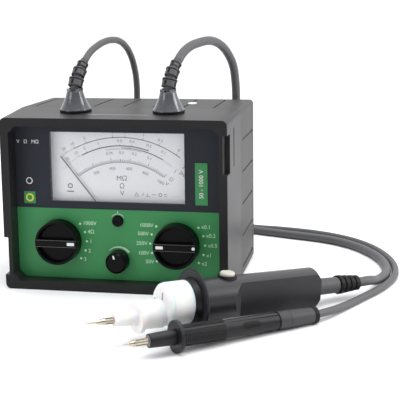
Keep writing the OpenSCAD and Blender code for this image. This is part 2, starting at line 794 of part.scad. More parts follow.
module small_nose() color([0.1, 0.1, 0.11]) small_probe_frame() difference() {
    bar_x(-18, -1.2, 4.1, 4.7);
    bar_x(-19, -14, pin_r - 0.1);
}

module small_handle() color([0.13, 0.13, 0.14]) small_probe_frame() {
    bar_x(-1.2, 1.2, small_guard_r);
    bar_x(1.2 - eps, 2.6, 4.6);
    bar_x(2.6 - eps, 31.5, small_grip_r);
    bar_x(31.5 - eps, small_body_end, small_grip_r - 0.3, small_grip_r - 0.7);
}

module small_tail() color([0.18, 0.18, 0.19]) small_probe_frame() {
    bar_x(small_body_end, small_body_end + 8, small_grip_r - 0.7, small_grip_r - 0.2);
    bar_x(small_body_end + 8 - eps, small_end, small_grip_r - 0.4, small_end_r);
}

// ---------------------------------------------------------------- leads

module thick_lead_top() color([0.28, 0.28, 0.29]) tube(thick_top_route, thick_d);
module thick_lead_coil() color([0.28, 0.28, 0.29]) coil(thick_coil, thick_coil_r, thick_d);
module thick_lead_end() color([0.28, 0.28, 0.29]) tube(thick_end_route, thick_d);
module thin_lead_top() color([0.28, 0.28, 0.29]) tube(thin_top_route, thin_d);
module thin_lead_coil() color([0.28, 0.28, 0.29]) coil(thin_coil, thin_coil_r, thin_d);
module thin_lead_end() color([0.28, 0.28, 0.29]) tube(thin_end_route, thin_d);

front_case();
rear_case();
front_panel();
control_overlay();
label_plates();
case_screws();
battery_door();
meter_window();
meter_dial();
meter_case();
meter_magnet();
meter_yoke();
meter_bridges();
moving_coil();
hairsprings();
pointer();
zero_adjuster();
function_knob();
function_shaft();
function_switch();
voltage_knob();
voltage_shaft();
voltage_switch();
trim_knob();
trim_shaft();
trim_pot();
main_board();
hv_transformer();
hv_capacitors();
fuse_holder();
fuse();
battery_holder();
batteries();
battery_contacts();
left_gland();
right_gland();
left_boot();
right_boot();
gland_nuts();
probe_grip();
probe_guard();
nose_ring();
probe_nose();
probe_tip();
push_button();
button_bezel();
button_switch();
button_spring();
probe_boot();
small_tip();
small_nose();
small_handle();
small_tail();
thick_lead_top();
thick_lead_coil();
thick_lead_end();
thin_lead_top();
thin_lead_coil();
thin_lead_end();
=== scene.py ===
import math

import bmesh
import bpy
from mathutils import Matrix, Vector


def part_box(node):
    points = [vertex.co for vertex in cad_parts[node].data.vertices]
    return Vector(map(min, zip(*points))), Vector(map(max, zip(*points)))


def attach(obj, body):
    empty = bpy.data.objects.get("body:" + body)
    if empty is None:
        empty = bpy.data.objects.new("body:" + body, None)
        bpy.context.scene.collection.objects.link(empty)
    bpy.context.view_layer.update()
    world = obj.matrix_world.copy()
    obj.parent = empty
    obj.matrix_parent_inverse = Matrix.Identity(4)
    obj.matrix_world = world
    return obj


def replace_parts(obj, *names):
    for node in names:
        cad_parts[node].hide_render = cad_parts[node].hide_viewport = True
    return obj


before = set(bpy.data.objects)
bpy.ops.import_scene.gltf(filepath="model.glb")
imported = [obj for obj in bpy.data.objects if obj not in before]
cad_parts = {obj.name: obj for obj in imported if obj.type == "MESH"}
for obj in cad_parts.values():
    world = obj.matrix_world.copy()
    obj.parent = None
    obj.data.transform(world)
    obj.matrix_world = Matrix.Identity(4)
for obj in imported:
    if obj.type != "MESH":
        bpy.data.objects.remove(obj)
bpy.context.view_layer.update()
MM = 0.001
ROOT = "instrument"


# ------------------------------------------------------------------ camera

def make_camera():
    """The photograph's view."""
    eye = Vector((0.18503, -0.67209, 0.20414))
    yaw, pitch, roll = math.radians(-10.115), math.radians(8.865), math.radians(-0.538)
    forward = Vector((math.sin(yaw) * math.cos(pitch), math.cos(yaw) * math.cos(pitch),
                      -math.sin(pitch)))
    right = Vector((math.cos(yaw), -math.sin(yaw), 0))
    up = right.cross(forward)
    x_axis = math.cos(roll) * right + math.sin(roll) * up
    y_axis = -math.sin(roll) * right + math.cos(roll) * up
    data = bpy.data.cameras.new("camera")
    data.sensor_width = 36
    data.lens = 85.5
    data.shift_x = -0.048
    data.shift_y = -0.138
    camera = bpy.data.objects.new("camera", data)
    turn = Matrix((x_axis, y_axis, -forward)).transposed()
    camera.matrix_world = Matrix.Translation(eye) @ turn.to_4x4()
    bpy.context.scene.collection.objects.link(camera)
    bpy.context.scene.camera = camera


make_camera()


# ------------------------------------------------------------------ materials

def node(tree, kind, **inputs):
    """A new shader node with its inputs set; an underscore stands for a space in their names."""
    made = tree.nodes.new(kind)
    for name, value in inputs.items():
        made.inputs[name.replace("_", " ")].default_value = value
    return made


def surface(name, colour, rough=0.45, vary=0.06, vary_size=25, grain=0.0, grain_size=900,
            rough_vary=0.05, metal=0.0, coat=0.0, specular=0.5, alpha=1.0, subsurface=0.0,
            stretch=(1, 1, 1), front_specular=None):
    """A procedural material: cloudy colour and roughness, and a fine moulded or drawn grain.

    front_specular, where given, is the reflectance of faces turned to the front.
    """
    made = bpy.data.materials.new(name)
    made.use_nodes = True
    tree = made.node_tree
    shader = tree.nodes["Principled BSDF"]
    shader.inputs["Metallic"].default_value = metal
    shader.inputs["Coat Weight"].default_value = coat
    shader.inputs["Coat Roughness"].default_value = 0.08
    shader.inputs["Specular IOR Level"].default_value = specular
    shader.inputs["Alpha"].default_value = alpha
    shader.inputs["Subsurface Weight"].default_value = subsurface
    shader.inputs["Subsurface Scale"].default_value = 0.004
    if front_specular is not None:
        facing = tree.nodes.new("ShaderNodeNewGeometry")
        axes = tree.nodes.new("ShaderNodeSeparateXYZ")
        tree.links.new(facing.outputs["Normal"], axes.inputs["Vector"])
        shine = node(tree, "ShaderNodeMapRange", From_Min=-0.85, From_Max=-0.25,
                     To_Min=front_specular, To_Max=specular)
        tree.links.new(axes.outputs["Y"], shine.inputs["Value"])
        tree.links.new(shine.outputs["Result"], shader.inputs["Specular IOR Level"])
    place = tree.nodes.new("ShaderNodeTexCoord")
    scale = tree.nodes.new("ShaderNodeMapping")
    scale.inputs["Scale"].default_value = stretch
    tree.links.new(place.outputs["Object"], scale.inputs["Vector"])
    cloud = node(tree, "ShaderNodeTexNoise", Scale=vary_size, Detail=4.0, Roughness=0.6)
    tree.links.new(scale.outputs["Vector"], cloud.inputs["Vector"])
    tint = tree.nodes.new("ShaderNodeValToRGB")
    low = [c * (1 - vary) for c in colour] + [1]
    high = [min(1, c * (1 + vary)) for c in colour] + [1]
    tint.color_ramp.elements[0].position = 0.3
    tint.color_ramp.elements[0].color = low
    tint.color_ramp.elements[1].position = 0.7
    tint.color_ramp.elements[1].color = high
    tree.links.new(cloud.outputs["Fac"], tint.inputs["Fac"])
    tree.links.new(tint.outputs["Color"], shader.inputs["Base Color"])
    matt = tree.nodes.new("ShaderNodeMapRange")
    matt.inputs["To Min"].default_value = max(0.02, rough - rough_vary)
    matt.inputs["To Max"].default_value = min(1, rough + rough_vary)
    tree.links.new(cloud.outputs["Fac"], matt.inputs["Value"])
    tree.links.new(matt.outputs["Result"], shader.inputs["Roughness"])
    if grain:
        fine = node(tree, "ShaderNodeTexNoise", Scale=grain_size, Detail=2.0)
        tree.links.new(scale.outputs["Vector"], fine.inputs["Vector"])
        bump = node(tree, "ShaderNodeBump", Strength=grain, Distance=0.0002)
        tree.links.new(fine.outputs["Fac"], bump.inputs["Height"])
        tree.links.new(bump.outputs["Normal"], shader.inputs["Normal"])
    return made


case_front = surface("case_front_plastic", (0.016, 0.015, 0.016), 0.42, grain=0.35,
                     grain_size=1600, front_specular=0.15)
case_rear = surface("case_rear_plastic", (0.064, 0.063, 0.063), 0.5, grain=0.45,
                    grain_size=1400, specular=0.16)
# grey standing in for the shade inside the nose's slits: painted shade, not the nylon's colour
slit_shade_grey = surface("slit_shade_grey", (0.30, 0.30, 0.31), 0.5)
# near black: the colour of the dark bands, label and flanges, and painted shade in the grooves,
# slots and shadow line that also use it
black_and_painted_shade = surface("black_and_painted_shade", (0.006, 0.006, 0.007), 0.5, specular=0.2, grain=0.1)
rim_grey = surface("rim_grey", (0.16, 0.16, 0.165), 0.45, grain=0.1)
panel_blue = surface("panel_anthracite", (0.021, 0.024, 0.032), 0.5, grain=0.15, specular=0.15)
green = surface("overlay_green", (0.034, 0.225, 0.070), 0.42, vary=0.05, vary_size=14, grain=0.08,
                specular=0.3)
print_white = surface("print_white", (0.72, 0.76, 0.72), 0.5, vary=0.03)
print_mint = surface("print_mint", (0.52, 0.74, 0.54), 0.5, vary=0.03)
print_pale = surface("print_pale_green", (0.42, 0.62, 0.42), 0.5, vary=0.04)
print_yellow = surface("print_yellow", (0.60, 0.62, 0.03), 0.5, vary=0.04)
dial_white = surface("dial_white", (0.78, 0.78, 0.80), 0.6, vary=0.015, vary_size=12)
dial_ink = surface("dial_ink", (0.035, 0.035, 0.04), 0.6, vary=0.1)
dial_grey_ink = surface("dial_grey_ink", (0.10, 0.10, 0.11), 0.6, vary=0.1)
needle_black = surface("needle_black", (0.03, 0.03, 0.035), 0.4)
gloss_black = surface("gloss_black", (0.004, 0.004, 0.0045), 0.2, vary=0.1, specular=0.07)
# grey for the lines along the selector bars' edges: a painted highlight
edge_highlight_grey = surface("edge_highlight_grey", (0.10, 0.10, 0.105), 0.35)
black_plastic = surface("black_plastic", (0.008, 0.008, 0.009), 0.42, grain=0.2, specular=0.25)
gland_black = surface("gland_black", (0.066, 0.070, 0.083), 0.24, vary=0.08, coat=0.6)
boot_rubber = surface("boot_rubber", (0.060, 0.060, 0.063), 0.55, grain=0.3, grain_size=700)
lead_rubber = surface("lead_rubber", (0.078, 0.078, 0.080), 0.5, vary=0.05, grain=0.15,
                      grain_size=500)
grip_plastic = surface("grip_plastic", (0.018, 0.018, 0.021), 0.36, grain=0.3, grain_size=1500,
                       specular=0.6, front_specular=0.3)
guard_plastic = surface("guard_plastic", (0.016, 0.017, 0.020), 0.4, grain=0.2, specular=0.2)
nylon = surface("white_nylon", (0.78, 0.78, 0.775), 0.42, vary=0.015, subsurface=0.7, grain=0.1,
                specular=0.3)
button_cream = surface("button_cream", (0.56, 0.53, 0.46), 0.35, vary=0.02)
small_black = surface("small_black", (0.010, 0.010, 0.011), 0.4, grain=0.25, grain_size=1500,
                      front_specular=0.2)
sleeve_rubber = surface("sleeve_rubber", (0.030, 0.030, 0.032), 0.5, grain=0.3, grain_size=700)
bright_metal = surface("bright_metal", (0.50, 0.45, 0.35), 0.26, vary=0.1, vary_size=300, metal=1.0)
steel = surface("plated_steel", (0.55, 0.55, 0.56), 0.3, metal=1.0, grain=0.1)
glass = surface("window_glass", (0.85, 0.88, 0.90), 0.05, vary=0.01, alpha=0.07, rough_vary=0.02)
brass = surface("brass", (0.60, 0.42, 0.14), 0.3, metal=1.0, vary=0.1)
copper = surface("copper_winding", (0.50, 0.20, 0.08), 0.4, metal=0.6, grain=0.6, grain_size=2500,
                 stretch=(1, 12, 1))
magnet_grey = surface("magnet_grey", (0.16, 0.16, 0.17), 0.4, metal=0.8, grain=0.3)
phenolic = surface("phenolic", (0.10, 0.045, 0.018), 0.5, vary=0.15, grain=0.2)
board_green = surface("board_green", (0.010, 0.075, 0.030), 0.3, vary=0.15, grain=0.2)
tape_yellow = surface("tape_yellow", (0.45, 0.32, 0.06), 0.4, vary=0.1)
sleeve_blue = surface("sleeve_blue", (0.02, 0.05, 0.20), 0.3, vary=0.08)
pot_blue = surface("pot_blue", (0.03, 0.10, 0.26), 0.35, vary=0.08)
cell_orange = surface("cell_orange", (0.50, 0.16, 0.02), 0.3, vary=0.12)
fuse_glass = surface("fuse_glass", (0.75, 0.80, 0.80), 0.1, alpha=0.5)

CAD_LOOKS = {
    "front_panel": panel_blue, "control_overlay": green, "label_plates": green,
    "case_screws": steel, "meter_window": glass, "meter_dial": dial_white,
    "meter_case": black_plastic, "meter_magnet": magnet_grey, "meter_yoke": magnet_grey,
    "meter_bridges": brass, "moving_coil": copper, "hairsprings": brass, "pointer": needle_black,
    "function_shaft": steel, "function_switch": phenolic, "voltage_shaft": steel,
    "voltage_switch": phenolic, "trim_shaft": steel, "trim_pot": pot_blue,
    "main_board": board_green, "hv_transformer": tape_yellow, "hv_capacitors": sleeve_blue,
    "fuse_holder": black_plastic, "fuse": fuse_glass, "battery_holder": black_plastic,
    "batteries": cell_orange, "battery_contacts": steel, "gland_nuts": black_plastic,
    "button_switch": phenolic, "button_spring": steel,
}


def look(obj, made):
    """Give an object one material and no other."""
    obj.data.materials.clear()
    obj.data.materials.append(made)


for name, made in CAD_LOOKS.items():
    look(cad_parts[name], made)


# ------------------------------------------------------------------ leads

# the same routes as the CAD's, in millimetres: from the gland to the coil, and on to the probe
THICK_D, THIN_D = 6.5, 5
THICK_TOP = [(38.5, -14, 159.5), (41, -7, 165), (44.5, 1.5, 169), (48.5, 11, 171),
             (53, 22, 172), (57, 34, 170.5), (60.5, 44, 166.5), (63.5, 53, 160), (66, 60, 151),
             (67, 64, 140), (67.5, 65, 122), (67.5, 65, 92), (67.5, 65, 62),
             (66.5, 65, 45), (62.5, 64.5, 29), (55, 63.5, 16), (44, 62.5, 7), (33, 62, 3.5)]
THICK_END = [(34, 138.5, 9.5), (46, 135.5, 7), (58, 131.5, 4), (72, 126, 3.3),
             (92, 119, 3.3), (112, 112, 3.3), (131, 105.5, 3.3), (148, 96, 3.3), (162, 83, 3.3),
             (173, 67, 3.3), (181, 50, 3.3), (185.5, 32, 3.3), (186.5, 14, 3.5), (184, -3, 4.5),
             (179.5, -17, 6), (174.6, -30, 9.5), (167.0, -37.4, 10.0)]
THIN_TOP = [(-30.8, -12, 159.5), (-29, -4, 165), (-26.5, 5, 169), (-24, 14, 171.5),
            (-21, 26, 172.5), (-18.5, 37, 171), (-16.5, 47, 166.5), (-15, 55, 159.5),
            (-14, 60.5, 151), (-13, 63.5, 139), (-13, 64.5, 118), (-13, 64.5, 92),
            (-13, 64.5, 68), (-13.5, 64.5, 50), (-17, 64.5, 34), (-24, 64.5, 20),
            (-33, 64.5, 9.5), (-46, 66, 4)]
THIN_END = [(-49, 128.5, 7.5), (-37, 131, 5), (-22, 136, 2.7), (-6, 143, 2.5),
            (10, 147, 2.5), (26, 148.5, 2.5), (42, 147, 2.5), (58, 142.5, 2.5), (75, 138, 2.5),
            (94, 135, 2.5), (112, 130.5, 2.5), (130, 124, 2.5), (146, 115, 2.5), (160, 103.5, 2.5),
            (172, 89, 2.5), (181, 73, 2.5), (187.5, 56, 2.5), (191.5, 39, 2.5), (193, 22, 2.5),
            (192, 5, 2.5), (187.5, -12, 2.5), (181, -28, 2.5), (173, -43, 2.5), (165, -58, 2.7),
            (157, -73, 3.4), (150.5, -84.5, 4.5), (142.5, -94.9, 5.2)]


def coil_points(centre, mid_r, d, start, stop):
    """Two turns side by side on the floor, then two on them: out to in, up, and in to out."""
    angle = math.atan2(start[1] - centre[1], start[0] - centre[0])
    last = math.atan2(stop[1] - centre[1], stop[0] - centre[0])
    turns = 4 + ((angle - last) % (2 * math.pi)) / (2 * math.pi) - 1
    points_per_turn = 20
    steps = int(turns * points_per_turn)
    points = []
    for i in range(1, steps):
        t = turns * i / steps
        side = 0.5 - min(1, max(0, (t - 0.85) / 0.3)) + min(1, max(0, (t - turns + 1.15) / 0.3))
        layer = min(1, max(0, (t - turns / 2 + 0.15) / 0.3))
        r = mid_r + side * d
        a = angle - 2 * math.pi * t
        points.append((centre[0] + r * math.cos(a), centre[1] + r * math.sin(a),
                       d / 2 + layer * d * 0.98))
    return points


def smooth_curve(name, points, d, made):
    """A round cord of the diameter d along a smooth curve through the points."""
    data = bpy.data.curves.new(name, "CURVE")
    data.dimensions = "3D"
    data.bevel_depth = d / 2 * MM
    data.bevel_resolution = 8
    data.resolution_u = 6
    data.use_fill_caps = True
    spline = data.splines.new("BEZIER")
    spline.bezier_points.add(len(points) - 1)
    for bezier, point in zip(spline.bezier_points, points):
        bezier.co = Vector(point) * MM
        bezier.handle_left_type = bezier.handle_right_type = "AUTO"
    obj = bpy.data.objects.new(name, data)
    bpy.context.scene.collection.objects.link(obj)
    data.materials.append(made)
    return obj


def lead(name, top, centre, mid_r, end, d):
    """One test lead: down from its gland, four turns about a centre, and on to its probe."""
    turns = coil_points(centre, mid_r, d, top[-1], end[0])
    points = top + turns + end
    obj = smooth_curve(name, points, d, lead_rubber)
    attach(obj, ROOT)
    return obj


thick_lead = lead("thick_lead", THICK_TOP, (22, 101), 36, THICK_END, THICK_D)
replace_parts(thick_lead, "thick_lead_top", "thick_lead_coil", "thick_lead_end")
thin_lead = lead("thin_lead", THIN_TOP, (-57, 97), 30, THIN_END, THIN_D)
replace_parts(thin_lead, "thin_lead_top", "thin_lead_coil", "thin_lead_end")


# ------------------------------------------------------------------ meshes

def piece(name, mesh, made, body, smooth):
    """A mesh that rides on a body, shaded smooth across edges flatter than the given angle.

    With no angle, the mesh keeps the shading normals that it came with.
    """
    obj = bpy.data.objects.new(name, mesh)
    bpy.context.scene.collection.objects.link(obj)
    mesh.materials.clear()
    mesh.materials.append(made)
    if smooth is not None:
        mesh.set_sharp_from_angle(angle=math.radians(smooth))
        for polygon in mesh.polygons:
            polygon.use_smooth = True
    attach(obj, body)
    return obj


def from_bmesh(name, shape):
    """The bmesh as a mesh, welded and with its faces turned outwards."""
    bmesh.ops.remove_doubles(shape, verts=shape.verts, dist=1e-7)
    bmesh.ops.recalc_face_normals(shape, faces=shape.faces)
    mesh = bpy.data.meshes.new(name)
    shape.to_mesh(mesh)
    shape.free()
    return mesh


def modified(name, mesh, *steps):
    """The mesh after a list of (modifier type, settings)."""
    obj = bpy.data.objects.new(name, mesh)
    bpy.context.scene.collection.objects.link(obj)
    for kind, settings in steps:
        modifier = obj.modifiers.new(kind.lower(), kind)
        for key, value in settings.items():
            setattr(modifier, key, value)
    bpy.context.view_layer.update()
    result = bpy.data.meshes.new_from_object(
        obj.evaluated_get(bpy.context.evaluated_depsgraph_get()))
    result.name = name
    bpy.data.objects.remove(obj)
    return result


def softened(node_name, width, made, body=ROOT, *, segments=2):
    """The CAD node's own shape with its sharp edges rounded, and its flat faces shaded flat."""
    shape = bmesh.new()
    shape.from_mesh(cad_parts[node_name].data)
    bmesh.ops.remove_doubles(shape, verts=shape.verts, dist=1e-7)
    bmesh.ops.dissolve_limit(shape, angle_limit=math.radians(0.6), verts=shape.verts,
                             edges=shape.edges)
    mesh = from_bmesh(node_name, shape)
    bevel = {"width": width * MM, "segments": segments, "limit_method": "ANGLE",
             "angle_limit": math.radians(28), "harden_normals": False,
             "miter_outer": "MITER_ARC", "use_clamp_overlap": True}
    for polygon in mesh.polygons:
        polygon.use_smooth = True
    mesh = modified(node_name, mesh, ("BEVEL", bevel),
                    ("WEIGHTED_NORMAL", {"mode": "FACE_AREA", "weight": 50}),
                    ("TRIANGULATE", {"min_vertices": 5, "keep_custom_normals": True}))
    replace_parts(piece(node_name + "_look", mesh, made, body, smooth=None), node_name)


def turned(profile, steps, at):
    """A closed solid of revolution about X from (x, radius) in millimetres, then put in place."""
    shape = bmesh.new()
    angles = [2 * math.pi * k / steps for k in range(steps)]
    rings = [[shape.verts.new(Vector((x, r * math.cos(a), r * math.sin(a))) * MM) for a in angles]
             for x, r in profile]
    for here, after in zip(rings, rings[1:]):
        for k in range(steps):
            n = (k + 1) % steps
            shape.faces.new((here[k], here[n], after[n], after[k]))
    shape.faces.new(rings[0])
    shape.faces.new(rings[-1])
    shape.transform(at)
    return shape


def block(size, at, turn=None):
    """A box of the given size in millimetres about the point at, as a bmesh."""
    shape = bmesh.new()
    bmesh.ops.create_cube(shape, size=1)
    shape.transform(Matrix.Diagonal([s * MM for s in size]).to_4x4())
    if turn is not None:
        shape.transform(turn.to_4x4())
    shape.transform(Matrix.Translation(Vector(at) * MM))
    return shape


def joined(*shapes):
    """Several bmeshes as one, without merging them."""
    whole = bmesh.new()
    for shape in shapes:
        mesh = bpy.data.meshes.new("part")
        shape.to_mesh(mesh)
        shape.free()
        whole.from_mesh(mesh)
        bpy.data.meshes.remove(mesh)
    return whole


# ------------------------------------------------------------------ printed marks

def ray(angle):
    """The unit vector at an angle on the panel, in degrees clockwise from straight up."""
    a = math.radians(angle)
    return Vector((math.sin(a), math.cos(a)))


class Marks:
    """Flat marks on a plane that faces the front, in millimetres, gathered into one piece."""

    def __init__(self, y, thick=0.05):
        self.back, self.front = y * MM, (y - thick) * MM
        self.shape = bmesh.new()

    def corner(self, point, y):
        return self.shape.verts.new((point[0] * MM, y, point[1] * MM))

    def ribbon(self, lefts, rights):
        """A strip between two lines of points."""
        rows = [[self.corner(p, y) for p, y in
                 ((a, self.front), (b, self.front), (b, self.back), (a, self.back))]
                for a, b in zip(lefts, rights)]
        for p, q in zip(rows, rows[1:]):
            for k in range(4):
                self.shape.faces.new((p[k], p[(k + 1) % 4], q[(k + 1) % 4], q[k]))
        self.shape.faces.new(rows[0])
        self.shape.faces.new(rows[-1])

    def line(self, a, b, width):
        across = Vector((b[1] - a[1], a[0] - b[0])).normalized() * width / 2
        a, b = Vector(a), Vector(b)
        self.ribbon([a + across, b + across], [a - across, b - across])

    def arc(self, centre, r, start, stop, width, end_width=None, steps=40):
        """Angles in degrees clockwise from straight up."""
        end_width = width if end_width is None else end_width
        lefts, rights = [], []
        for i in range(steps + 1):
            out = ray(start + (stop - start) * i / steps)
            w = width + (end_width - width) * i / steps
            lefts.append(Vector(centre) + out * (r + w / 2))
            rights.append(Vector(centre) + out * (r - w / 2))
        self.ribbon(lefts, rights)

    def tick(self, centre, r0, r1, angle, width):
        self.line(Vector(centre) + ray(angle) * r0, Vector(centre) + ray(angle) * r1, width)

    def dot(self, centre, r, steps=20):
        rim = [(centre[0] + r * math.cos(2 * math.pi * k / steps),
                centre[1] + r * math.sin(2 * math.pi * k / steps)) for k in range(steps)]
        fronts = [self.corner(p, self.front) for p in rim]
        backs = [self.corner(p, self.back) for p in rim]
        self.shape.faces.new(fronts)
        self.shape.faces.new(backs[::-1])
        for k in range(steps):
            n = (k + 1) % steps
            self.shape.faces.new((fronts[k], backs[k], backs[n], fronts[n]))

    def text(self, words, at, size, turn=0, align="CENTER"):
        """Lettering of the given capital height; turn is in degrees clockwise."""
        data = bpy.data.curves.new("text", "FONT")
        data.body = words
        data.size = size * 1.38 * MM
        data.align_x = align
        data.align_y = "CENTER"
        data.resolution_u = 3
        data.extrude = (self.back - self.front) / 2
        obj = bpy.data.objects.new("text", data)
        bpy.context.scene.collection.objects.link(obj)
        bpy.context.view_layer.update()
        mesh = bpy.data.meshes.new_from_object(
            obj.evaluated_get(bpy.context.evaluated_depsgraph_get()))
        stand = Matrix.Translation((at[0] * MM, (self.back + self.front) / 2, at[1] * MM))
        mesh.transform(stand @ Matrix.Rotation(math.radians(turn), 4, "Y")
                       @ Matrix.Rotation(math.pi / 2, 4, "X"))
        self.shape.from_mesh(mesh)
        bpy.data.objects.remove(obj)
        bpy.data.meshes.remove(mesh)

    def piece(self, name, made, body=ROOT, *, slot):
        piece(name, from_bmesh(name, self.shape), made, body, smooth=20)


PANEL_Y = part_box("front_panel")[0].y / MM
FOIL_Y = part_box("control_overlay")[0].y / MM
DIAL_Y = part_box("meter_dial")[0].y / MM
SELECTOR_X, SELECTOR_Z = 42.7, 33.5
BODY_H, BEZEL_DROP, FRONT_DEPTH, SEAM_Y = 125, 2.4, 46, -9
TOP_SLOPE = math.atan(BEZEL_DROP / FRONT_DEPTH)
GLAND_X, GLAND_Y = 34, -26
GLAND_Z = BODY_H - BEZEL_DROP * (SEAM_Y - GLAND_Y) / FRONT_DEPTH
FIRST_LABEL, LABEL_STEP, LABEL_R = 50, 20, 19.6
TRIM_Z, ZERO_Z = 20.5, 49


def panel_print():
    """The words round the selectors, the adjusters' arcs and the signs at the left and right."""
    white = Marks(FOIL_Y)
    # which selector, which side of it, and the words from the top down
    label_columns = ((-1, 1, ["1000V", "4Ω", "1", "2", "3"]),
                     (1, 1, ["x0.1", "x0.2", "x0.5", "x1", "x2"]),
                     (1, -1, ["1000V", "500V", "250V", "100V", "50V"]))
    for selector_side, side, labels in label_columns:
        centre = Vector((selector_side * SELECTOR_X, SELECTOR_Z))
        for k, words in enumerate(labels):
            out = ray(side * (FIRST_LABEL + LABEL_STEP * k))
            white.dot(centre + out * LABEL_R, 0.8)
            at = centre + Vector((out.x * LABEL_R + side * 2.0, out.y * (LABEL_R + 0.8)))
            white.text(words, at, 2.8, align="LEFT" if side > 0 else "RIGHT")
    white.piece("selector_marks", print_mint, slot="dial_white")

    pale = Marks(FOIL_Y)
    pale.arc((0, TRIM_Z), 9.7, -45, 52, 0.3, 1.9)
    pale.arc((0, ZERO_Z), 5.1, -55, 55, 0.5)
    for side in (-1, 1):
        pale.arc((0, ZERO_Z), 5.1, side * 40, side * 62, 1.5, 0.1, steps=6)
    pale.tick((0, ZERO_Z), 5.1, 7.2, 0, 0.5)
    pale.piece("adjuster_marks", print_pale, slot="dial_white")

    plain = Marks(PANEL_Y)
    plain.text("V   Ω   MΩ", (-64.6, 104.2), 2.6)
    plain.arc((-64.4, 76.3), 2.1, 0, 359, 0.55)
    plain.piece("panel_marks", print_white, slot="dial_white")

    badge = Marks(FOIL_Y)
    badge.arc((-64.35, 64.25), 2.4, 0, 359, 1.1)
    badge.piece("badge_mark", print_yellow, slot="dial_white")

    strip = Marks(FOIL_Y)
    strip.text("50 - 1000 V", (60.2, 76.7), 3.1, turn=-90)
    strip.piece("strip_mark", print_white, slot="dial_white")


def dial_print():
    """The scales, each about its own centre, with their numbers and unit signs."""
    ink = Marks(DIAL_Y)
    outer, outer_r = (2, 35.4), 72.2
    second, second_r = (2.2, 40.6), 61
    lower, lower_r = (1.9, 39.1), 50.8
    ink.arc(outer, outer_r, -28.5, 35.8, 0.55)
    ink.arc(second, second_r, -28.4, 18.8, 0.75)
    ink.arc(second, second_r - 1.4, 0, 29, 0.45)
    ink.arc(second, second_r - 1.4, 14, 30, 0.6)
    for words, z in (("MΩ", 78.3), ("Ω", 72.8), ("V", 67.6)):
        ink.text(words, (2.0, z), 3.7)
    for words, at in (("3", (46.6, 87.4)), ("2", (44.3, 83.5)), ("1", (40.6, 84.2)),
                      ("Ω", (37.6, 78.4)), ("V", (34.4, 75.2))):
        ink.text(words, at, 2.7, turn=38)
    ink.text("MΩ", (46.6, 81.3), 2.1, turn=40)
    ink.piece("dial_marks", dial_ink, slot="black_plastic")

    fine = Marks(DIAL_Y)
    first, sweep = -38, 74.8
    fine.arc(lower, lower_r, first, 36.8, 0.4)
    for k in range(51):
        height = 3.2 if k % 10 == 0 else 2.4 if k % 5 == 0 else 1.8
        fine.tick(lower, lower_r, lower_r + height, first + sweep * k / 50, 0.45)
    for k, words in enumerate(["200", "400", "600", "800", "1000"], start=1):
        angle = first + sweep * k / 5
        fine.text(words, Vector(lower) + ray(angle) * (lower_r - 4.2), 2.2, turn=angle * 0.8)
    for angle, words in ((-33.5, "20"), (-28, "10"), (-20.5, "5"), (-4.6, "3"), (2.4, "2"),
                         (12.6, "1"), (22, "0.5"), (33, "0")):
        fine.text(words, Vector(outer) + ray(angle) * (outer_r + 3.6), 2.2, turn=angle)
        fine.tick(outer, outer_r, outer_r + 1.6, angle, 0.35)
    for angle, words in ((-38, "20"), (-31, "10"), (-24.5, "5"), (-15, "1"), (-1, "0.5"),
                         (7, "0.4"), (18, "0.3"), (28, "0.1")):
        fine.text(words, Vector(second) + ray(angle) * (second_r + 3.5), 2.2, turn=angle)
        fine.tick(second, second_r, second_r + 1.3, angle, 0.3)
    for angle, words in ((-9, "0.04"), (0, "0.3"), (9.5, "0.2"), (21, "0.1")):
        fine.text(words, Vector(second) + ray(angle) * (second_r - 4.8), 2.1, turn=angle)
    for k in range(24):
        fine.tick(second, second_r - 2.4, second_r - 1.4, -11 + k * 1.1, 0.2)
    for k in range(16):
        fine.tick(second, second_r - 2.4, second_r - 1.0, 16 + k * 1.4, 0.2)
    for k in range(8):
        fine.tick(second, second_r - 0.2, second_r + 1.0, -44 + 2 * k, 0.25)
        fine.tick(outer, outer_r - 0.2, outer_r + 1.0, -36 + k, 0.25)
    fine.arc(second, second_r - 2.4, -11, 14, 0.2)
    # plain signs in the lower corners
    fine.arc((-36, 72.2), 1.5, 0, 359, 0.8)
    fine.line((-38.5, 68.2), (-33.5, 68.2), 0.9)
    fine.line((11, 66), (14, 66), 0.3)
    fine.line((11, 66), (12.5, 68.6), 0.3)
    fine.line((14, 66), (12.5, 68.6), 0.3)
    fine.line((16.5, 66), (17.5, 68.6), 0.3)
    fine.line((19, 66), (22, 66), 0.35)
    fine.line((20.5, 66), (20.5, 68.4), 0.35)
    fine.line((23.6, 67.2), (27, 67.2), 0.35)
    fine.arc((29.6, 67.2), 1.1, 0, 359, 0.45)
    fine.line((32.2, 66.4), (34.4, 66.4), 0.35)
    fine.line((32.2, 67.8), (34.4, 67.8), 0.35)
    fine.piece("dial_scales", dial_grey_ink, slot="black_plastic")


panel_print()
dial_print()


# ------------------------------------------------------------------ housing and controls

softened("front_case", 0.7, case_front, segments=3)
softened("rear_case", 0.5, case_rear)
softened("battery_door", 0.4, case_rear)
softened("zero_adjuster", 0.35, gloss_black, "zero_screw")


